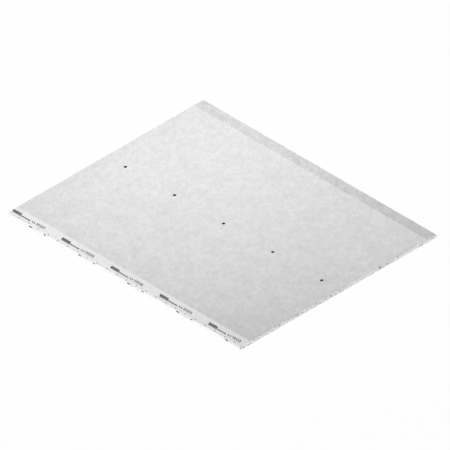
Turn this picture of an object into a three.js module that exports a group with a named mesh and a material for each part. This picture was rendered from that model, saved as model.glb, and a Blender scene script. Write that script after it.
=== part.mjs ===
import * as THREE from "three";

// A tapered-edge gypsum board lying face up, in millimetres. X runs along its length, Y across its
// width and Z up through its thickness. The origin is the middle of the underside.
//
// The board is a gypsum core cast between two papers. The face paper covers the face, follows the
// tapers, wraps both long edges and ends as a flap folded onto the back. The back paper is glued over
// the flaps. Both ends are sawn square, so the core shows there between the papers.

// Whole board
const boardLength = 1430;
const boardWidth = 1200;
const boardThickness = 15;

// Papers
const facePaperThickness = 0.35;
const backPaperThickness = 0.35;
const flapWidth = 28; // from the long edge to the end of the folded flap
const backPaperSetback = 12; // from the long edge to the edge of the back paper

// Long edges
const taperWidth = 59; // from the long edge to the crease where the flat face starts
const taperDepth = 2.5; // how far the face has dropped at the long edge
const faceFoldRadius = 2.5; // outside of the paper, between the taper and the edge
const backFoldRadius = 1.5; // outside of the paper, between the edge and the back
const foldSteps = 8; // flats around each fold

// Points of an arc about centre from one angle to another, both ends included.
function arcPoints(centre, radius, startAngle, endAngle) {
  const points = [];
  for (let step = 0; step <= foldSteps; step++) {
    const angle = startAngle + ((endAngle - startAngle) * step) / foldSteps;
    points.push(
      new THREE.Vector2(
        centre.x + radius * Math.cos(angle),
        centre.y + radius * Math.sin(angle),
      ),
    );
  }
  return points;
}

// The long edge on +Y in the Y-Z plane, from the flap's end on the back, round both folds and up the
// taper to the crease. It lies inset below the outside of the face paper.
function edgeContour(inset) {
  const edge = boardWidth / 2;
  const slope = Math.atan2(taperDepth, taperWidth);
  const flapEnd = new THREE.Vector2(edge - flapWidth, backPaperThickness + inset);
  const backFold = new THREE.Vector2(edge - backFoldRadius, backPaperThickness + backFoldRadius);
  // The face fold touches the edge and, a radius away from it, the sloping line of the taper.
  const dropAtFold = (taperWidth - faceFoldRadius) * Math.tan(slope) + faceFoldRadius / Math.cos(slope);
  const faceFold = new THREE.Vector2(edge - faceFoldRadius, boardThickness - dropAtFold);
  const crease = new THREE.Vector2(
    edge - taperWidth - inset * Math.tan(slope / 2),
    boardThickness - inset,
  );
  return [
    flapEnd,
    ...arcPoints(backFold, backFoldRadius - inset, -Math.PI / 2, 0),
    ...arcPoints(faceFold, faceFoldRadius - inset, 0, Math.PI / 2 - slope),
    crease,
  ];
}

// A contour of the +Y edge carried across the face and down round the -Y edge.
function acrossBoard(contour) {
  const mirrored = contour.map((point) => new THREE.Vector2(-point.x, point.y));
  return [...contour, ...mirrored.reverse()];
}

// A closed Y-Z outline carried along the whole length in X.
function alongBoard(outline) {
  const geometry = new THREE.ExtrudeGeometry(new THREE.Shape(outline), {
    depth: boardLength,
    steps: 1,
    bevelEnabled: false,
  });
  const alongX = new THREE.Matrix4().makeBasis(
    new THREE.Vector3(0, 1, 0),
    new THREE.Vector3(0, 0, 1),
    new THREE.Vector3(1, 0, 0),
  );
  return geometry.applyMatrix4(alongX).translate(-boardLength / 2, 0, 0);
}

function namedMesh(name, geometry, color, roughness) {
  const material = new THREE.MeshStandardMaterial({ color, roughness, metalness: 0 });
  const mesh = new THREE.Mesh(geometry, material);
  mesh.name = name;
  return mesh;
}

// The core fills the face paper and is rebated over the two flaps by their thickness.
function gypsumCore() {
  const underFace = edgeContour(facePaperThickness);
  const flapStep = new THREE.Vector2(boardWidth / 2 - flapWidth, backPaperThickness);
  return namedMesh("gypsum_core", alongBoard(acrossBoard([flapStep, ...underFace])), 0xeae9e6, 1);
}

// One sheet of even thickness: its outside contour and the core's contour close the outline.
function facePaper() {
  const outside = acrossBoard(edgeContour(0));
  const inside = acrossBoard(edgeContour(facePaperThickness));
  return namedMesh("face_paper", alongBoard([...outside, ...inside.reverse()]), 0xdfdfde, 0.85);
}

// A flat sheet under the core and over the inner part of both flaps.
function backPaper() {
  const halfWidth = boardWidth / 2 - backPaperSetback;
  const outline = [
    new THREE.Vector2(halfWidth, 0),
    new THREE.Vector2(halfWidth, backPaperThickness),
    new THREE.Vector2(-halfWidth, backPaperThickness),
    new THREE.Vector2(-halfWidth, 0),
  ];
  return namedMesh("back_paper", alongBoard(outline), 0xb9b6b0, 0.9);
}

const drywallSheet = new THREE.Group();
drywallSheet.add(gypsumCore(), facePaper(), backPaper());

export default drywallSheet;
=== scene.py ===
import math

import bpy
import numpy as np
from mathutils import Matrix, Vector


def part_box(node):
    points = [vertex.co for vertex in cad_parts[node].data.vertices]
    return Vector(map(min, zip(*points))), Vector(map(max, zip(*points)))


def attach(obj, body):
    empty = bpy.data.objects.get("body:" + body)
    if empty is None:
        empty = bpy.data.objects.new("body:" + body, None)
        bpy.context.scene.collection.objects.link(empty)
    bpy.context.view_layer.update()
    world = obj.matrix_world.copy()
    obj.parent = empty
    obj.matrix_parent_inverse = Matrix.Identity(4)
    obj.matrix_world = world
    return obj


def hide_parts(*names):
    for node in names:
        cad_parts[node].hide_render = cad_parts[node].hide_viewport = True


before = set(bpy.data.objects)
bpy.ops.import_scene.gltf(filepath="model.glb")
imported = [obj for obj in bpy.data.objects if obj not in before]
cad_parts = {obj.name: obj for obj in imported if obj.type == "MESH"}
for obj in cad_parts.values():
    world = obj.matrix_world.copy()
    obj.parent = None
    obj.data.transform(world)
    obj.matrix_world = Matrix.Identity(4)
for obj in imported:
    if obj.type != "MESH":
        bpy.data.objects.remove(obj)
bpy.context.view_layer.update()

bodyName = "root"

# The sheet's own sizes come from the frame. Those of its folded edge are the part's own, in metres.
paperLow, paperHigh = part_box("face_paper")
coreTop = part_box("gypsum_core")[1].z
backLow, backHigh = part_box("back_paper")
sheetLength = paperHigh.x - paperLow.x
sheetWidth = paperHigh.y - paperLow.y
sheetTop = paperHigh.z
flapUnderside = paperLow.z
paperThickness = sheetTop - coreTop
foldedEdge = {
    "taperWidth": 0.059,
    "taperDepth": 0.0025,
    "flapWidth": 0.028,
    "faceFold": 0.0025,
    "backFold": 0.0015,
    "clearance": 0.00006,  # how far the dressed paper lies inside the solid's skin
    "levelSide": 0.009,  # heights between which the face's unevenness sets in
    "levelFace": 0.012,
    "points": {"taper": 32, "faceFold": 9, "side": 8, "backFold": 7, "flap": 14},  # of the section
}
print("frame loaded: sheet", round(sheetLength, 4), "x", round(sheetWidth, 4), "x", round(sheetTop, 4))


# A node tree being built. node() adds any node: its type, its settings, then its sockets' values or links.
class Finish:
    def __init__(self, tree):
        self.tree = tree
        tree.nodes.clear()

    def node(self, kind, settings=None, sockets=None, output=0):
        made = self.tree.nodes.new(kind)
        for name, value in (settings or {}).items():
            setattr(made, name, value)
        for key, value in (sockets or {}).items():
            if isinstance(value, Wire):
                self.tree.links.new(value.socket, made.inputs[key])
            elif value is not None:
                made.inputs[key].default_value = value
        return Wire(self, made.outputs[output]) if made.outputs else None

    # noise of a given grain in metres, stretched by the share of each axis
    def noise(self, place, grain, detail=3, roughness=0.55, stretch=(1, 1, 1)):
        scaled = self.node("ShaderNodeVectorMath", {"operation": "MULTIPLY"}, {0: place, 1: stretch})
        sockets = {"Vector": scaled, "Scale": 1 / grain, "Detail": detail, "Roughness": roughness}
        return self.node("ShaderNodeTexNoise", {}, sockets)

    # the place turned about the sheet's upright axis, in degrees
    def turned(self, place, angle):
        sockets = {"Vector": place, "Angle": math.radians(angle)}
        return self.node("ShaderNodeVectorRotate", {"rotation_type": "Z_AXIS"}, sockets)

    # 0 below low, 1 above high and a smooth rise between them
    def rise(self, value, low, high):
        sockets = {"Value": value, "From Min": low, "From Max": high, "To Min": 0, "To Max": 1}
        return self.node("ShaderNodeMapRange", {"interpolation_type": "SMOOTHSTEP"}, sockets)

    def mixColour(self, factor, first, second):
        settings = {"data_type": "RGBA", "clamp_factor": True}
        return self.node("ShaderNodeMix", settings, {0: factor, 6: first, 7: second}, 2)


# One socket. Arithmetic on it adds Math nodes.
class Wire:
    def __init__(self, finish, socket):
        self.finish = finish
        self.socket = socket

    def maths(self, operation, first, second=None):
        return self.finish.node("ShaderNodeMath", {"operation": operation}, {0: first, 1: second})

    def __add__(self, other):
        return self.maths("ADD", self, other)

    def __sub__(self, other):
        return self.maths("SUBTRACT", self, other)

    def __rsub__(self, other):
        return self.maths("SUBTRACT", other, self)

    def __mul__(self, other):
        return self.maths("MULTIPLY", self, other)

    def __abs__(self):
        return self.maths("ABSOLUTE", self)

    def larger(self, other):
        return self.maths("MAXIMUM", self, other)

    __radd__ = __add__
    __rmul__ = __mul__


def grey(tone):
    return (tone, tone, tone, 1)


def newFinish(name):
    material = bpy.data.materials.new(name)
    material.use_nodes = True
    return material, Finish(material.node_tree)


# Ends a material: a Principled shader with its colour, roughness and shine, and a bump whose height is
# in metres, or in shares of the given depth.
def closeFinish(finish, colour, roughness, shine, height, depth=1.0):
    bump = finish.node("ShaderNodeBump", {}, {"Strength": 1.0, "Distance": depth, "Height": height})
    sockets = {"Base Color": colour, "Roughness": roughness, "Specular IOR Level": shine, "Normal": bump}
    shader = finish.node("ShaderNodeBsdfPrincipled", {}, sockets)
    finish.node("ShaderNodeOutputMaterial", {}, {"Surface": shader})


latticeSize = 64  # cells after which a lattice noise comes round again
latticeStart = 1000  # cells between the start of a lattice noise and the sheet's middle


# Value noise: random heights on a lattice, blended by a smooth step between lattice points. From -1 to 1.
def latticeNoise(across, along, cell, seed):
    lattice = np.random.default_rng(seed).uniform(-1, 1, (latticeSize, latticeSize))
    places = (np.asarray(place) / cell + latticeStart for place in (across, along))
    u, v = np.broadcast_arrays(*places)
    i, j = np.floor(u).astype(int), np.floor(v).astype(int)
    a, b = u - i, v - j
    a, b = a * a * (3 - 2 * a), b * b * (3 - 2 * b)
    left, right = i % latticeSize, (i + 1) % latticeSize
    near, far = j % latticeSize, (j + 1) % latticeSize
    low = lattice[left, near] * (1 - a) + lattice[right, near] * a
    high = lattice[left, far] * (1 - a) + lattice[right, far] * a
    return low * (1 - b) + high * b


# Faces of a closed shell: grid one, grid two turned over, and a rim of quads joining their borders.
def shellFaces(rows, columns):
    index = np.arange(rows * columns).reshape(rows, columns)
    corners = (index[:-1, :-1], index[1:, :-1], index[1:, 1:], index[:-1, 1:])
    front = np.stack([c.ravel() for c in corners], 1)
    back = front[:, ::-1] + index.size
    ring = np.concatenate((index[:-1, 0], index[-1, :-1], index[:0:-1, -1], index[0, :0:-1]))
    after = np.roll(ring, -1)
    rim = np.stack((after, ring, ring + index.size, after + index.size), 1)
    return np.concatenate((front, back, rim))


# Puts one or many closed shells, each a pair of facing grids, into one mesh with its faces outwards.
# values names a float for each point of both grids, which a material can read.
def shellObject(name, front, back, material, sharpAngle=50, values=None):
    front = front.reshape((-1,) + front.shape[-3:])
    back = back.reshape(front.shape)
    copies, rows, columns, _ = front.shape
    points = np.concatenate((front.reshape(copies, -1, 3), back.reshape(copies, -1, 3)), 1)
    faces = shellFaces(rows, columns)
    offsets = np.arange(copies)[:, None, None] * points.shape[1]
    faces = (faces[None] + offsets).reshape(-1, 4)
    points = points.reshape(-1, 3)
    a, b, c, d = (points[faces[:, k]] for k in range(4))
    volume = np.einsum("ij,ij->i", a, np.cross(b, c)).sum() + np.einsum("ij,ij->i", a, np.cross(c, d)).sum()
    if volume < 0:
        faces = faces[:, ::-1]
    mesh = bpy.data.meshes.new(name)
    mesh.from_pydata(points.tolist(), [], faces.tolist())
    for label, pair in (values or {}).items():
        layer = mesh.attributes.new(label, "FLOAT", "POINT")
        layer.data.foreach_set("value", np.concatenate([grid.ravel() for grid in pair]))
    mesh.shade_smooth()
    mesh.set_sharp_from_angle(angle=math.radians(sharpAngle))
    mesh.materials.append(material)
    made = bpy.data.objects.new(name, mesh)
    bpy.context.scene.collection.objects.link(made)
    print(name, len(points), "points", len(faces), "faces")
    return made


def seat(piece, slotName, *nodes):
    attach(piece, bodyName)
    if nodes:
        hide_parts(*nodes)


# What cutting did to both ends, the -X end first. Lengths are in metres.
cutEnds = {
    "seeds": (31, 57),
    "fray": (0.0004, 0.0005),  # fine fray of the papers
    "wander": (0.0005, 0.0006),  # slow wander of the cut
    "nick": (0.0030, 0.0085),  # torn nicks
    "crush": (0.0005, 0.0015),  # how far the face is pressed down there
    "crushReach": 0.016,
    "crushCell": 0.024,
    "crushSpread": 0.2,  # added to the patches' noise, so that more than half of the end is crushed
    "dents": 0.4,  # share of the crush that comes and goes within a patch
    "crushSeeds": (21, 22),  # of the patches and of the dents in them
    "uneven": 0.00006,  # half the height of the whole face's faint unevenness
    "waves": ((0.6, 0.23, 11), (0.4, 0.11, 12)),  # its noises: share, cell and seed of each
    "frayCell": 0.0024,
    "wanderCell": 0.035,
    "nickCell": 0.0075,
    "nickFrom": 0.3,  # noise height above which the paper is torn
    "insideTear": 0.7,  # share of the tear that a paper's glued side shows
}


# A value of the -X end or the +X end, whichever is nearer to x.
def ofEnd(x, name):
    return np.where(np.asarray(x) < 0, *cutEnds[name])


# How far the face lies below its plane: two lattice noises for the faint unevenness of a board, and
# patches along both ends that the cut crushed, deepest at the very end and gone at the reach.
def faceDrop(x, y):
    waves = sum(share * latticeNoise(x, y, cell, seed) for share, cell, seed in cutEnds["waves"])
    near = np.clip(1 - (sheetLength / 2 - np.abs(x)) / cutEnds["crushReach"], 0, 1) ** 2
    end, cell = ofEnd(x, "seeds"), cutEnds["crushCell"]
    patchSeed, dentSeed = cutEnds["crushSeeds"]
    patch = np.clip(latticeNoise(y, end, cell, patchSeed) + cutEnds["crushSpread"], 0, 1)
    dents = 1 - cutEnds["dents"] + cutEnds["dents"] * latticeNoise(y, end, cell / 4, dentSeed)
    return cutEnds["uneven"] * (1 + waves) + ofEnd(x, "crush") * near * patch * dents


# The drop of a point of the paper's section at height z: the face's on the face, none on the sides.
def sectionDrop(x, y, z):
    rise = foldedEdge["levelFace"] - foldedEdge["levelSide"]
    return faceDrop(x, y) * np.clip((z - foldedEdge["levelSide"]) / rise, 0, 1)


# Half of the paper's section, from the middle of the face out to +Y, down the taper, round both folds
# and in along the flap. It lies inset below the CAD skin. One row of Y and Z for each point.
def halfSection(inset, faceCount):
    edge = sheetWidth / 2
    slope = math.atan2(foldedEdge["taperDepth"], foldedEdge["taperWidth"])
    faceFold, backFold = foldedEdge["faceFold"], foldedEdge["backFold"]
    drop = (foldedEdge["taperWidth"] - faceFold) * math.tan(slope) + faceFold / math.cos(slope)
    crease = edge - foldedEdge["taperWidth"] - inset * math.tan(slope / 2)

    def arc(centreY, centreZ, radius, start, end, count):
        angle = np.linspace(start, end, count)
        return np.stack((centreY + radius * np.cos(angle), centreZ + radius * np.sin(angle)), 1)

    def straight(start, end, count):
        return np.linspace(start, end, count, endpoint=False)

    points = foldedEdge["points"]
    up, down = math.pi / 2, -math.pi / 2
    face = straight((0, sheetTop - inset), (crease, sheetTop - inset), faceCount)
    upper = arc(edge - faceFold, sheetTop - drop, faceFold - inset, up - slope, 0, points["faceFold"])
    lower = arc(edge - backFold, flapUnderside + backFold, backFold - inset, 0, down, points["backFold"])
    taper = straight((crease, sheetTop - inset), upper[0], points["taper"])
    side = straight(upper[-1], lower[0], points["side"])[1:]
    flapEnd = (edge - foldedEdge["flapWidth"], flapUnderside + inset)
    flap = np.linspace(lower[-1], flapEnd, points["flap"])[1:]
    return np.concatenate((face, taper, upper, side, lower, flap))


# How far a paper stops short of the cut's line at the given end: fine fray, slow wander and torn nicks.
def frayedEnd(run, end, tear):
    seed = cutEnds["seeds"][end]
    fray, wander, nick = (cutEnds[name][end] * tear for name in ("fray", "wander", "nick"))
    fine = np.abs(latticeNoise(run, 0, cutEnds["frayCell"], seed)) * fray
    slow = (1 + latticeNoise(run, 0, cutEnds["wanderCell"], seed + 1)) * wander / 2
    above = np.clip(latticeNoise(run, 0, cutEnds["nickCell"], seed + 2) - cutEnds["nickFrom"], 0, 1)
    torn = above * nick / (1 - cutEnds["nickFrom"])
    return fine + slow + torn


paperSheet = {
    "tone": 0.745,
    "clouds": 0.31,  # shares by which the tone varies
    "blotches": 0.11,
    "grain": 0.115,
    "fibres": 0.20,
    "hairs": 0.18,
    "streaks": 0.05,
    "cloudNoise": (0.024, 3, 0.55, (0.8, 1.05, 1)),  # each one's size, detail, roughness and stretch
    "blotchNoise": (0.09, 2, 0.5),
    "grainNoise": (0.004, 3, 0.6),
    "fibreNoise": (0.011, 2, 0.5, (0.8, 1.1, 1)),
    "hairNoise": (0.0016, 2, 0.6, (1, 4, 1)),
    "streakNoise": (0.004, 2, 0.5, (0.04, 1, 1)),
    "cloudTurn": 57,  # degrees by which the clouds and the fibres lie turned
    "fibreTurn": 45,
    "fibreBlotches": 2,  # how much stronger the fibres are in the blotches
    "pressedMottle": 0.5,  # how much stronger the clouds are on the pressed tapers
    "pressedGrain": 0.85,  # and the grain, fibres and hairs
    "pressedSlope": 0.30,  # extra tilt that the paper's grain shows on the pressed tapers
    "pressedTone": 0.022,  # painted light: how much lighter again the printed taper is, as it faces the light
    "printedTaperLight": 0.030,  # how much lighter again the printed taper is
    "sideTone": 0.018,  # how much lighter again the sides are
    "endShade": 0.030,  # painted shade: how much darker the sheet is towards its end at -X
    "farEndShading": 0.09,  # painted light and shade: how much lighter the flat face is for each metre towards +Y, and darker towards -Y, at its +X end
    "farEndRise": (0.30, 0.60),  # where along X that starts and where it is full
    "creaseShade": 0.024,  # painted shade: how much darker the face is right beside the printed taper
    "shadeReach": (0.09, 0.1),  # how far the end's painted shade and the crease's reach
    "calmed": 0.88,  # share of the clouds that is gone on the stretched sides and the printed taper
    "taperRise": (0, 0.001),  # how far past the crease the tapers' look starts and is full
    "sideRise": (0.002, 0.0005),  # how far before the edge the sides' look starts and is full
    "middleBand": 0.1,  # half the band about the sheet's middle in which one side turns into the other
    "lip": 0.00018,  # height of the faint lip along each crease
    "lipRise": (0.009, 0.001),  # how far before the crease it starts and is full
    "lipFall": 0.006,  # how far past the crease it is gone
    "relief": 0.0003,  # height of the grain, fibres and hairs
    "reliefShares": (0.5, 0.2, 0.3),  # and the share of each in it
    "roughness": 0.86,
    "roughGrain": 0.2,  # how much rougher or smoother the grain makes it
    "shine": 0.3,
    "faceCount": 500,  # points across half the face
    "endRows": (0.0, 0.0006, 0.0015, 0.003, 0.005, 0.008, 0.0115, 0.016, 0.024),
    "middleRows": 26,
}


# Places along the sheet of a paper's points, from one frayed end to the other for each run across it:
# close together near both ends, even between.
def placesAlong(run, tear):
    near = np.array(paperSheet["endRows"]) / sheetLength
    middle = np.linspace(near[-1], 1 - near[-1], paperSheet["middleRows"])[1:-1]
    share = np.concatenate((near, middle, 1 - near[::-1]))
    low = -sheetLength / 2 + frayedEnd(run, 0, tear)
    high = sheetLength / 2 - frayedEnd(run, 1, tear)
    return low + (high - low) * share[None]


def faceFinish():
    material, finish = newFinish("facePaperFinish")
    place = finish.node("ShaderNodeTexCoord", {}, {}, "Object")
    pressed = finish.node("ShaderNodeAttribute", {"attribute_name": "pressed"}, {}, "Fac")
    ahead, aside = (finish.node("ShaderNodeSeparateXYZ", {}, {0: place}, axis) for axis in "XY")
    across = abs(aside)
    crease = sheetWidth / 2 - foldedEdge["taperWidth"]
    onTaper = finish.rise(pressed, *paperSheet["taperRise"])
    onSide = finish.rise(pressed, *(foldedEdge["taperWidth"] - reach for reach in paperSheet["sideRise"]))

    # the noises, each about 0
    turned = finish.turned(place, paperSheet["fibreTurn"])
    clouds = finish.noise(finish.turned(place, paperSheet["cloudTurn"]), *paperSheet["cloudNoise"]) - 0.5
    blotches = finish.noise(place, *paperSheet["blotchNoise"]) - 0.5
    grain = finish.noise(place, *paperSheet["grainNoise"]) - 0.5
    fibres = finish.noise(turned, *paperSheet["fibreNoise"]) - 0.5
    fibres = fibres * (1 + blotches * paperSheet["fibreBlotches"])
    hairs = finish.noise(place, *paperSheet["hairNoise"]) - 0.5
    streaks = finish.noise(place, *paperSheet["streakNoise"]) - 0.5

    # how they vary the tone, by zones of the sheet
    mottle = clouds * paperSheet["clouds"] + blotches * paperSheet["blotches"]
    printed = onTaper * (1 - finish.rise(aside, -paperSheet["middleBand"], paperSheet["middleBand"]))
    mottle = mottle * (1 + onTaper * paperSheet["pressedMottle"])
    calm = printed.larger(onSide)
    mottle = mottle * (1 - calm * paperSheet["calmed"])
    fine = grain * paperSheet["grain"] + fibres * paperSheet["fibres"] + hairs * paperSheet["hairs"]
    mottle = mottle + fine * (1 + onTaper * (1 - calm) * paperSheet["pressedGrain"])
    mottle = mottle + streaks * onTaper * paperSheet["streaks"]

    # zones lighter or darker as a whole: pressed tapers and sides, and painted light and shade on the
    # printed taper, by its crease and at the ends
    endReach, creaseReach = paperSheet["shadeReach"]
    lighter = onTaper * paperSheet["pressedTone"] + onSide * paperSheet["sideTone"]
    lighter = lighter + printed * (1 - onSide) * paperSheet["printedTaperLight"]
    beside = (1 - finish.rise(aside, -crease, creaseReach - crease)) * (1 - onTaper)
    atEnd = 1 - finish.rise(ahead, -sheetLength / 2, endReach - sheetLength / 2)
    lighter = lighter - beside * paperSheet["creaseShade"] - atEnd * paperSheet["endShade"]
    atFarEnd = finish.rise(ahead, *paperSheet["farEndRise"]) * (1 - onTaper)
    lighter = lighter + atFarEnd * aside * paperSheet["farEndShading"]
    toned = (mottle + 1) * (lighter + 1) * paperSheet["tone"]
    colour = finish.node("ShaderNodeCombineColor", {}, {0: toned, 1: toned, 2: toned})

    # the bump: fine relief, the tapers' tilt and the lip that rises before each crease and falls past it
    roughness = paperSheet["roughness"] + grain * paperSheet["roughGrain"]
    tilt = pressed * (-paperSheet["pressedSlope"])
    before, full = (crease - reach for reach in paperSheet["lipRise"])
    rising = finish.rise(across, before, full)
    lip = rising * (1 - finish.rise(across, crease, crease + paperSheet["lipFall"]))
    grainShare, fibreShare, hairShare = paperSheet["reliefShares"]
    relief = (grain * grainShare + fibres * fibreShare + hairs * hairShare) * paperSheet["relief"]
    height = relief + tilt + lip * paperSheet["lip"]
    closeFinish(finish, colour, roughness, paperSheet["shine"], height)
    return material


# The face paper: the section carried along the sheet, x running between the two frayed ends, outside
# and inside contours a paper's thickness apart.
def makeFacePaper():
    def contour(inset):
        half = halfSection(inset, paperSheet["faceCount"])
        mirrored = half[:0:-1] * (-1, 1)
        return np.concatenate((mirrored, half))

    skin = contour(0)
    run = np.cumsum(np.hypot(*np.diff(skin, axis=0, prepend=skin[:1]).T))[:, None]

    def surface(inset, tear):
        x = placesAlong(run, tear)
        y, z = (np.broadcast_to(column[:, None], x.shape) for column in contour(inset).T)
        return np.stack((x, y, z - sectionDrop(x, y, z)), -1)

    clearance = foldedEdge["clearance"]
    outside = surface(clearance, 1.0)
    inside = surface(clearance + paperThickness, cutEnds["insideTear"])

    # how far each point of the section lies past the crease, the same from the edge round to the flap
    half = np.abs(skin[:, 0])
    outwards = half[len(half) // 2:] - (sheetWidth / 2 - foldedEdge["taperWidth"])
    outwards = np.maximum.accumulate(np.maximum(outwards, 0))
    pressed = np.concatenate((outwards[:0:-1], outwards))
    pressed = np.broadcast_to(pressed[:, None], outside.shape[:2])
    values = {"pressed": (pressed, pressed)}
    piece = shellObject("face_paper_wrapped", outside, inside, faceFinish(), values=values)
    seat(piece, "face_paper", "face_paper")


gypsum = {
    "tone": 0.885,
    "columnPitch": 0.00065,  # between the end's columns of points
    "rows": 22,  # points in a column
    "seeds": (83, 71),  # of the -X end and the +X end
    "relief": ((0.0006, 0.03), (0.0010, 0.0045), (0.0005, 0.0023)),  # waves, lumps, grit: depth and cell
    "arris": 0.0004,  # how far the arrises crumbled back
    "arrisCell": 0.012,
    "arrisSpread": 0.4,  # added to their noise, so that more than half of them crumbled
    "arrisDrift": 0.004,  # how far the noise of one arris lies from the other's
    "arrisPower": 5,  # how sharply the crumbling stops away from the arris
    "flat": 0.0008,  # depth down to which the saw took all relief away
    "bubbles": 900,
    "bubbleSizes": (0.0008, 0.0024),
    "bubbleLevels": (0.08, 0.92),  # shares of the thickness at which they lie
    "chips": 160,
    "chipSizes": (0.0014, 0.0034),
    "chipLevels": (0.04, 0.12, 0.5, 0.93, 0.97, 1.0),
    "chipStretch": 1.3,  # how much wider than tall a chip is
    "holes": 7,  # chips that broke out deeper
    "holeSizes": (0.0032, 0.0048),
    "holeLevels": (0.5, 0.9),
    "bowlDepth": 0.7,  # share of its size that a bubble or chip is deep
    "rimWobble": 0.7,
    "rimCell": 0.0016,
    "bubbleShade": 0.25,  # how much painted shade a bubble holds, where a chip holds 1
    "hollowShade": 0.35,  # painted shade: how much darker the deepest hollows are
    "patchShade": 0.46,  # how much darker the patches of painted shade in them are
    "shadePatchRise": (0.35, 0.55),
    "ragged": 1.6,  # how much the patches' borders wander
    "specks": 0.25,
    "speckRise": (0.66, 0.72),
    "crumbs": 1.1,  # shares by which the tone varies
    "grit": 0.3,
    "lumps": 0.12,
    "stains": 0.06,
    "crumbNoise": (0.005, 4, 0.65),  # each one's size, detail and roughness
    "gritNoise": (0.0009, 3, 0.7),
    "lumpNoise": (0.008, 2, 0.6),
    "stainNoise": (0.03, 3, 0.6),
    "speckNoise": (0.0018, 1, 0.5),
    "raggedNoise": (0.0025, 3, 0.7),
    "crumbHeight": 0.0009,
    "gritHeight": 0.0008,
    "roughness": 0.95,
    "shine": 0.2,
    "facePoints": 40,  # of the section that the core follows
    "sharpAngle": 75,
}


def gypsumFinish():
    material, finish = newFinish("gypsumFinish")
    place = finish.node("ShaderNodeTexCoord", {}, {}, "Object")
    hollow = finish.node("ShaderNodeAttribute", {"attribute_name": "hollow"}, {}, "Fac")
    crumbs = finish.noise(place, *gypsum["crumbNoise"]) - 0.5
    grit = finish.noise(place, *gypsum["gritNoise"]) - 0.5
    lumps = finish.noise(place, *gypsum["lumpNoise"]) - 0.5
    stains = finish.noise(place, *gypsum["stainNoise"]) - 0.5
    specks = finish.rise(finish.noise(place, *gypsum["speckNoise"]), *gypsum["speckRise"])
    ragged = finish.noise(place, *gypsum["raggedNoise"]) - 0.5
    mix = crumbs * gypsum["crumbs"] + grit * gypsum["grit"] + lumps * gypsum["lumps"]
    mix = mix + stains * gypsum["stains"] + 1
    # painted shade in the hollows: ragged patches, darkest where the bowls are deepest
    shadeWeight = finish.rise(hollow + ragged * gypsum["ragged"], *gypsum["shadePatchRise"])
    dark = hollow * gypsum["hollowShade"] + shadeWeight * gypsum["patchShade"]
    toned = mix * (1 - dark) * (1 - specks * gypsum["specks"]) * gypsum["tone"]
    colour = finish.node("ShaderNodeCombineColor", {}, {0: toned, 1: toned, 2: toned})
    height = crumbs * gypsum["crumbHeight"] + grit * gypsum["gritHeight"]
    closeFinish(finish, colour, gypsum["roughness"], gypsum["shine"], height)
    return material


# Depth of the broken end below the cut's line at each y and z, and how much painted shade its hollows get
# there: slow waves, lumps, grit and arrises that crumbled back, all less the saw's own flat, then round
# bubbles cut open and chips, each a bowl 1 - w (r / size)^2 where that is above 0, with w a noise about 1
# that makes its rim ragged. A chip lies wider than it is tall.
def endDepth(y, z, top, bottom, seed):
    random = np.random.default_rng(seed)
    level = (z - bottom[:, None]) / (top - bottom)[:, None]
    depth = np.zeros_like(level)
    for k, (deepest, cell) in enumerate(gypsum["relief"]):
        depth = depth + deepest * (1 + latticeNoise(y, z, cell, seed + k)) / 2
    crumble = latticeNoise(y, level * gypsum["arrisDrift"], gypsum["arrisCell"], seed + 3)
    crumble = np.clip(gypsum["arrisSpread"] + crumble, 0, 1)
    depth = depth + gypsum["arris"] * np.abs(2 * level - 1) ** gypsum["arrisPower"] * crumble
    depth = np.maximum(depth - gypsum["flat"], 0)

    # bubbles first, then chips, the first of which are the holes
    count = gypsum["bubbles"] + gypsum["chips"]
    where = random.uniform(-sheetWidth / 2, sheetWidth / 2, count)
    height = random.uniform(*gypsum["bubbleLevels"], count)
    size = random.uniform(*gypsum["bubbleSizes"], count)
    wide = np.ones(count)
    shadeWeight = np.full(count, gypsum["bubbleShade"])
    chips = slice(gypsum["bubbles"], count)
    size[chips] = random.uniform(*gypsum["chipSizes"], gypsum["chips"])
    height[chips] = random.choice(gypsum["chipLevels"], gypsum["chips"])
    wide[chips] = gypsum["chipStretch"]
    shadeWeight[chips] = 1
    holes = slice(gypsum["bubbles"], gypsum["bubbles"] + gypsum["holes"])
    size[holes] = random.uniform(*gypsum["holeSizes"], gypsum["holes"])
    height[holes] = random.uniform(*gypsum["holeLevels"], gypsum["holes"])

    pits, hollow = np.zeros_like(depth), np.zeros_like(depth)
    columns = y[:, 0]
    wobble = 1 + gypsum["rimWobble"] * latticeNoise(y, z, gypsum["rimCell"], seed + 4)
    for k in np.argsort(where):
        half = size[k] * wide[k]
        first, last = np.searchsorted(columns, (where[k] - half, where[k] + half))
        if last > first:
            part = slice(first, last)
            middle = bottom[part] + (top[part] - bottom[part]) * height[k]
            away = ((y[part] - where[k]) / wide[k]) ** 2 + (z[part] - middle[:, None]) ** 2
            bowl = np.clip(1 - away * wobble[part] / size[k] ** 2, 0, 1)
            pits[part] = np.maximum(pits[part], bowl * size[k] * gypsum["bowlDepth"])
            hollow[part] = np.maximum(hollow[part], bowl * shadeWeight[k])
    return depth + pits, hollow


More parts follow.
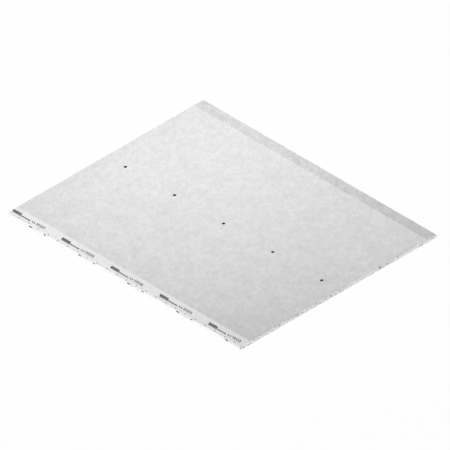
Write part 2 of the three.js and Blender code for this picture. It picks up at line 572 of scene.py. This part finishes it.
# The core: two end grids, each column of points spread between the papers, joined by long walls that
# the papers hide.
def makeCore():
    inset = foldedEdge["clearance"] + paperThickness
    half = halfSection(inset, gypsum["facePoints"])
    widest = int(np.argmax(half[:, 0]))
    upper = half[: widest + 1]
    lower = half[widest:][::-1]
    reach = half[widest, 0]
    columns = np.linspace(-reach, reach, int(2 * reach / gypsum["columnPitch"]) + 1)
    top = np.interp(np.abs(columns), upper[:, 0], upper[:, 1])
    bottom = np.interp(np.abs(columns), lower[:, 0], lower[:, 1])
    share = np.linspace(0, 1, gypsum["rows"])[None]

    def endGrid(x, inward, seed):
        y = np.broadcast_to(columns[:, None], (len(columns), gypsum["rows"]))
        high = top - faceDrop(x, columns)
        z = bottom[:, None] + (high - bottom)[:, None] * share
        depth, hollow = endDepth(y, z, high, bottom, seed)
        return np.stack((x + inward * depth, y, z), -1), hollow

    nearSeed, farSeed = gypsum["seeds"]
    far, farHollow = endGrid(sheetLength / 2, -1, farSeed)
    near, nearHollow = endGrid(-sheetLength / 2, 1, nearSeed)
    values = {"hollow": (farHollow, nearHollow)}
    sharp = gypsum["sharpAngle"]
    piece = shellObject("gypsum_core_broken_ends", far, near, gypsumFinish(), sharp, values)
    seat(piece, "gypsum", "gypsum_core")


backSheet = {
    "tone": (0.46, 0.45, 0.43),
    "toneShares": (0.9, 1.1),  # of the tone, in its darker and its lighter clouds
    "fleckTone": 0.16,
    "flecks": 0.35,  # how strong the flecks are
    "fleckRise": (0.68, 0.74),
    "clouds": 0.6,  # share of the clouds in the mix of tones, the rest being grain
    "contrast": 2,  # of that mix
    "cloudNoise": (0.06, 4, 0.6),  # each one's size, detail, roughness and stretch
    "grainNoise": (0.003, 3, 0.6),
    "fleckNoise": (0.0025, 1, 0.5, (1, 2.5, 1)),
    "grainDepth": 0.0003,
    "roughness": 0.9,
    "shine": 0.25,
    "clearance": 0.00002,  # how far it lies inside the solid's skin
    "rowsAcross": 700,
    "runShift": 3,  # metres along the ends' noise, so that it isn't frayed like the face paper
}


def backFinish():
    material, finish = newFinish("backPaperFinish")
    place = finish.node("ShaderNodeTexCoord", {}, {}, "Object")
    clouds = finish.noise(place, *backSheet["cloudNoise"])
    grain = finish.noise(place, *backSheet["grainNoise"])
    flecks = finish.rise(finish.noise(place, *backSheet["fleckNoise"]), *backSheet["fleckRise"])
    mix = clouds * backSheet["clouds"] + grain * (1 - backSheet["clouds"]) - 0.5
    mix = mix * backSheet["contrast"] + 0.5
    low, high = ((*(c * share for c in backSheet["tone"]), 1) for share in backSheet["toneShares"])
    plain = finish.mixColour(mix, low, high)
    colour = finish.mixColour(flecks * backSheet["flecks"], plain, grey(backSheet["fleckTone"]))
    closeFinish(finish, colour, backSheet["roughness"], backSheet["shine"], grain, backSheet["grainDepth"])
    return material


# The back paper: a flat sheet between frayed ends, its top and underside a paper's thickness apart.
def makeBackPaper():
    gap = backSheet["clearance"]
    y = np.linspace(backLow.y + gap, backHigh.y - gap, backSheet["rowsAcross"])[:, None]

    def surface(z, tear):
        x = placesAlong(y + backSheet["runShift"], tear)
        return np.stack(np.broadcast_arrays(x, y, z), -1)

    top = surface(backHigh.z - gap, cutEnds["insideTear"])
    underside = surface(backLow.z + gap, 1.0)
    piece = shellObject("back_paper_frayed", top, underside, backFinish())
    seat(piece, "back_paper", "back_paper")


# Everything printed is ink laid on the face paper of the -Y edge or along the middle, in metres.
# Along is measured from the -X end. Back is measured from the long edge over the paper towards the
# middle of the face, and is below 0 on the side.
inkTones = {"black": 0.012, "worn": 0.05, "faint": 0.12}
inkWear = {
    "noise": (0.002, 3, 0.7),
    "rise": (0.5, 0.75),  # heights of the noise between which the wear sets in
    "most": 0.5,
    "times": 2,  # worn ink's tone: so many times the fresh ink's, and so much lighter
    "lighter": 0.02,
    "depth": 0.0001,
    "roughness": 0.8,
    "shine": 0.12,
}
printing = {
    "pitch": 0.3003,
    "repeats": 5,
    "start": 0.0025,
    # Rows of marks in each repeat: the first mark's middle along, the step to the next, how many, how
    # far back their middle lies, then a mark's length, height and slant.
    "boldBars": (0.0058, 0.0103, 5, 0.0309, 0.0077, 0.0186, -0.0065),
    "ruleBars": (0.0640, 0.0190, 3, 0.0264, 0.0172, 0.0056, 0.0),
    "shortBars": (0.1228, 0.0127, 2, 0.0288, 0.0049, 0.0115, -0.006),
    "tallBars": (0.1506, 0.0105, 5, 0.0306, 0.0044, 0.0165, -0.007),
    "ticks": (-0.0014, 0.0602, 5, 0.0086, 0.0030, 0.0104, -0.0025),
    "longDash": (0.1389, 1, 1, -0.0026, 0.0182, 0.0058, 0.0),
    "shortDash": (0.2237, 1, 1, -0.0020, 0.0140, 0.0050, 0.0),
    "fineBars": (0.1527, 0.0066, 8, -0.0038, 0.0048, 0.0018, 0.0),
    "cutDash": (0.0045, -0.0028, 0.0060, 0.0060),  # how far before the +X end, back, length and height
    "endMargin": 0.012,  # how far before the +X end the last mark's middle may lie
    "tickMargin": 0.006,  # and past the -X end the first tick's
    "dotStart": 0.1190,
    "dotPitch": 0.301,
    "dotAside": 0.0024,  # how far the dots lie past the sheet's middle, towards +Y
    "dotSize": 0.0149,
    "lift": 0.00003,  # how far the ink stands above the paper and how deep its underside lies
    "sunk": 0.00006,
    "bleed": 0.00025,  # how far the marks' edges wander
    "bleedCell": 0.0013,
    "bleedFrom": 0.99,  # share of a mark's half size at which its edge starts
    "bleedSeeds": (5, 6),
    "columns": 9,  # points along a mark
    "rows": 7,  # and across it
    "tickRows": 25,  # and across a tick, which bends round the fold
    "dashRows": 31,  # and across the side's dashes, which do so as well
    "sharpAngle": 60,
    "facePoints": 60,  # of the section that the ink follows, from the middle of the face to the crease
    "slopeReach": 0.0003,  # how far on both sides of a point its slope is taken
}


def inkFinish(name, tone):
    material, finish = newFinish(name)
    place = finish.node("ShaderNodeTexCoord", {}, {}, "Object")
    wear = finish.noise(place, *inkWear["noise"])
    worn = finish.rise(wear, *inkWear["rise"]) * inkWear["most"]
    colour = finish.mixColour(worn, grey(tone), grey(tone * inkWear["times"] + inkWear["lighter"]))
    closeFinish(finish, colour, inkWear["roughness"], inkWear["shine"], wear, inkWear["depth"])
    return material


# A point of the paper for each place along the sheet and run outwards from the middle of the face
# towards -Y, lifted off it by the given height along the paper's own normal.
def onPaper(along, run, lift):
    half = halfSection(foldedEdge["clearance"], printing["facePoints"])
    step = np.diff(half, axis=0)
    length = np.concatenate(([0], np.cumsum(np.hypot(step[:, 0], step[:, 1]))))
    side, run = np.where(run < 0, -1, 1), np.abs(run)
    y, z = (np.interp(run, length, half[:, k]) for k in (0, 1))
    ahead, behind = run + printing["slopeReach"], np.maximum(run - printing["slopeReach"], 0)
    dy, dz = (np.interp(ahead, length, half[:, k]) - np.interp(behind, length, half[:, k]) for k in (0, 1))
    size = np.hypot(dy, dz)
    x = along - sheetLength / 2
    sag = sectionDrop(x, -side * y, z)
    return np.stack((x, -side * (y - lift * dz / size), z + lift * dy / size - sag), -1)


# How far the long edge lies from the middle of the face, over the paper.
def runAtEdge():
    half = halfSection(foldedEdge["clearance"], printing["facePoints"])
    widest = int(np.argmax(np.isclose(half[:, 0], sheetWidth / 2 - foldedEdge["clearance"])))
    step = np.diff(half[: widest + 1], axis=0)
    return np.hypot(step[:, 0], step[:, 1]).sum()


# Marks are patches of ink: a grid over each, u along it and v across, leaning by slant, with edges that
# wander by the ink's bleed.
def inkPatches(name, marks, material, disc=False, rows=printing["rows"]):
    columns = printing["columns"]
    u, v = np.meshgrid(np.linspace(-1, 1, columns), np.linspace(-1, 1, rows), indexing="ij")
    if disc:
        u, v = u * np.sqrt(1 - v * v / 2), v * np.sqrt(1 - u * u / 2)
    along, run, length, height, slant = (np.array(column)[:, None, None] for column in zip(*marks))
    x = along + u * length / 2 - v * slant / 2
    across = run + v * height / 2
    bleed = printing["bleed"] * (np.maximum(np.abs(u), np.abs(v)) > printing["bleedFrom"])
    seedAlong, seedAcross = printing["bleedSeeds"]
    x = x + bleed * latticeNoise(x, across, printing["bleedCell"], seedAlong)
    across = across + bleed * latticeNoise(x, across, printing["bleedCell"], seedAcross)
    top = onPaper(x, across, printing["lift"])
    under = onPaper(x, across, -printing["sunk"])
    piece = shellObject(name, top, under, material, printing["sharpAngle"])
    seat(piece, "ink")


# The repeated edge print is plain bars: a bold group, a broken rule, a group of thin bars of two
# heights, ticks along the edge, and on the side two dashes with fine bars between them.
def makePrint():
    black = inkFinish("blackInk", inkTones["black"])
    worn = inkFinish("wornInk", inkTones["worn"])
    faint = inkFinish("faintInk", inkTones["faint"])
    edge = runAtEdge()
    starts = [printing["start"] + k * printing["pitch"] for k in range(printing["repeats"])]

    # the marks of the named rows in all repeats, as far as they fit on the sheet
    def marks(*names):
        found = []
        for name in names:
            first, step, count, back, length, height, slant = printing[name]
            places = [s + first + step * k for s in starts for k in range(count)]
            places = [p for p in places if p < sheetLength - printing["endMargin"]]
            found += [(p, edge - back, length, height, slant) for p in places]
        return found

    inkPatches("edge_print_bars", marks("boldBars"), black)
    inkPatches("edge_print_rule", marks("ruleBars"), black)
    inkPatches("edge_print_scale", marks("shortBars", "tallBars"), black)
    ticks = [tick for tick in marks("ticks") if tick[0] > printing["tickMargin"]]
    inkPatches("edge_print_ticks", ticks, faint, rows=printing["tickRows"])
    # the last dash is cut through by the saw
    before, back, length, height = printing["cutDash"]
    dashes = marks("longDash", "shortDash") + [(sheetLength - before, edge - back, length, height, 0.0)]
    inkPatches("side_dashes", dashes, black, rows=printing["dashRows"])
    inkPatches("side_fine_bars", marks("fineBars"), worn)
    size = printing["dotSize"]
    places = [printing["dotStart"] + k * printing["dotPitch"] for k in range(printing["repeats"])]
    dots = [(p, -printing["dotAside"], size, size, 0.0) for p in places]
    inkPatches("screw_dots", dots, black, disc=True)


studio = {
    "floorSize": 40.0,
    "floorTone": 0.85,
    "floorWhite": 0.97,  # share of the plain white that the camera sees on the floor, over its shading
    "backdropWhite": 0.99,
    "skyStrength": 0.20,
    "lamps": (
        # name, place, size, watts
        ("frontLamp", (0.0, -14.0, 2.0), 3.6, 1450.0),
        ("sideLamp", (12.0, 0.0, 1.4), 2.2, 630.0),
        ("fillLamp", (-12.0, 0.0, 1.4), 2.2, 170.0),
        ("farOverhead", (-0.7, 0.9, 2.2), 1.0, 28.0),
        ("nearOverhead", (-1.2, -0.4, 2.3), 1.0, 17.0),
    ),
}
viewFrom = {
    "azimuth": 45.06,
    "elevation": 35.23,
    "frameWidth": 1.950,  # metres across the picture
    "picturePixels": 450,
    "faceCentrePixels": (-2.75, -1.79),  # of the face's middle, right and down from the picture's middle
    "distance": 6.0,
}


# 1 where a ray comes from the camera or from a mirror or a clear piece, 0 for light on the object
def seenRay(finish):
    rays = [finish.node("ShaderNodeLightPath", {}, {}, name)
            for name in ("Is Camera Ray", "Is Glossy Ray", "Is Transmission Ray")]
    return rays[0].larger(rays[1]).larger(rays[2])


def makeFloor():
    half = studio["floorSize"] / 2
    mesh = bpy.data.meshes.new("floor")
    corners = [(-half, -half, 0), (half, -half, 0), (half, half, 0), (-half, half, 0)]
    mesh.from_pydata(corners, [], [(0, 1, 2, 3)])
    floor = bpy.data.objects.new("floor", mesh)
    bpy.context.scene.collection.objects.link(floor)
    material, finish = newFinish("floorFinish")
    shade = finish.node("ShaderNodeBsdfDiffuse", {}, {"Color": grey(studio["floorTone"])})
    white = finish.node("ShaderNodeEmission", {}, {"Color": grey(1), "Strength": 1.0})
    share = seenRay(finish) * studio["floorWhite"]
    shader = finish.node("ShaderNodeMixShader", {}, {0: share, 1: shade, 2: white})
    finish.node("ShaderNodeOutputMaterial", {}, {"Surface": shader})
    mesh.materials.append(material)


def makeWorld():
    world = bpy.data.worlds.new("studioWorld")
    bpy.context.scene.world = world
    world.use_nodes = True
    finish = Finish(world.node_tree)
    sky = finish.node("ShaderNodeBackground", {}, {"Color": grey(1), "Strength": studio["skyStrength"]})
    white = finish.node("ShaderNodeBackground", {}, {"Color": grey(1), "Strength": studio["backdropWhite"]})
    shader = finish.node("ShaderNodeMixShader", {}, {0: seenRay(finish), 1: sky, 2: white})
    finish.node("ShaderNodeOutputWorld", {}, {"Surface": shader})


def makeLamps():
    for name, place, size, watts in studio["lamps"]:
        light = bpy.data.lights.new(name, "AREA")
        light.shape = "DISK"
        light.size = size
        light.energy = watts
        lamp = bpy.data.objects.new(name, light)
        lamp.location = place
        lamp.rotation_euler = (-Vector(place)).to_track_quat("-Z", "Y").to_euler()
        bpy.context.scene.collection.objects.link(lamp)


def makeCamera():
    turn, lift = math.radians(viewFrom["azimuth"]), math.radians(viewFrom["elevation"])
    back = Vector((math.sin(turn) * math.cos(lift), -math.cos(turn) * math.cos(lift), math.sin(lift)))
    right = Vector((math.cos(turn), math.sin(turn), 0))
    up = back.cross(right)
    pixel = viewFrom["frameWidth"] / viewFrom["picturePixels"]
    offset = [c * pixel for c in viewFrom["faceCentrePixels"]]
    faceMiddle = Vector((0, 0, sheetTop))
    camera = bpy.data.cameras.new("camera")
    camera.type = "ORTHO"
    camera.ortho_scale = viewFrom["frameWidth"]
    holder = bpy.data.objects.new("camera", camera)
    holder.location = faceMiddle - right * offset[0] + up * offset[1] + back * viewFrom["distance"]
    holder.rotation_euler = back.to_track_quat("Z", "Y").to_euler()
    bpy.context.scene.collection.objects.link(holder)
    bpy.context.scene.camera = holder


makeCamera()
makeWorld()
makeFloor()
makeLamps()
print("studio ready")
makeFacePaper()
makeCore()
makeBackPaper()
makePrint()
print("sheet dressed")
bpy.context.scene.view_settings.view_transform = "Standard"
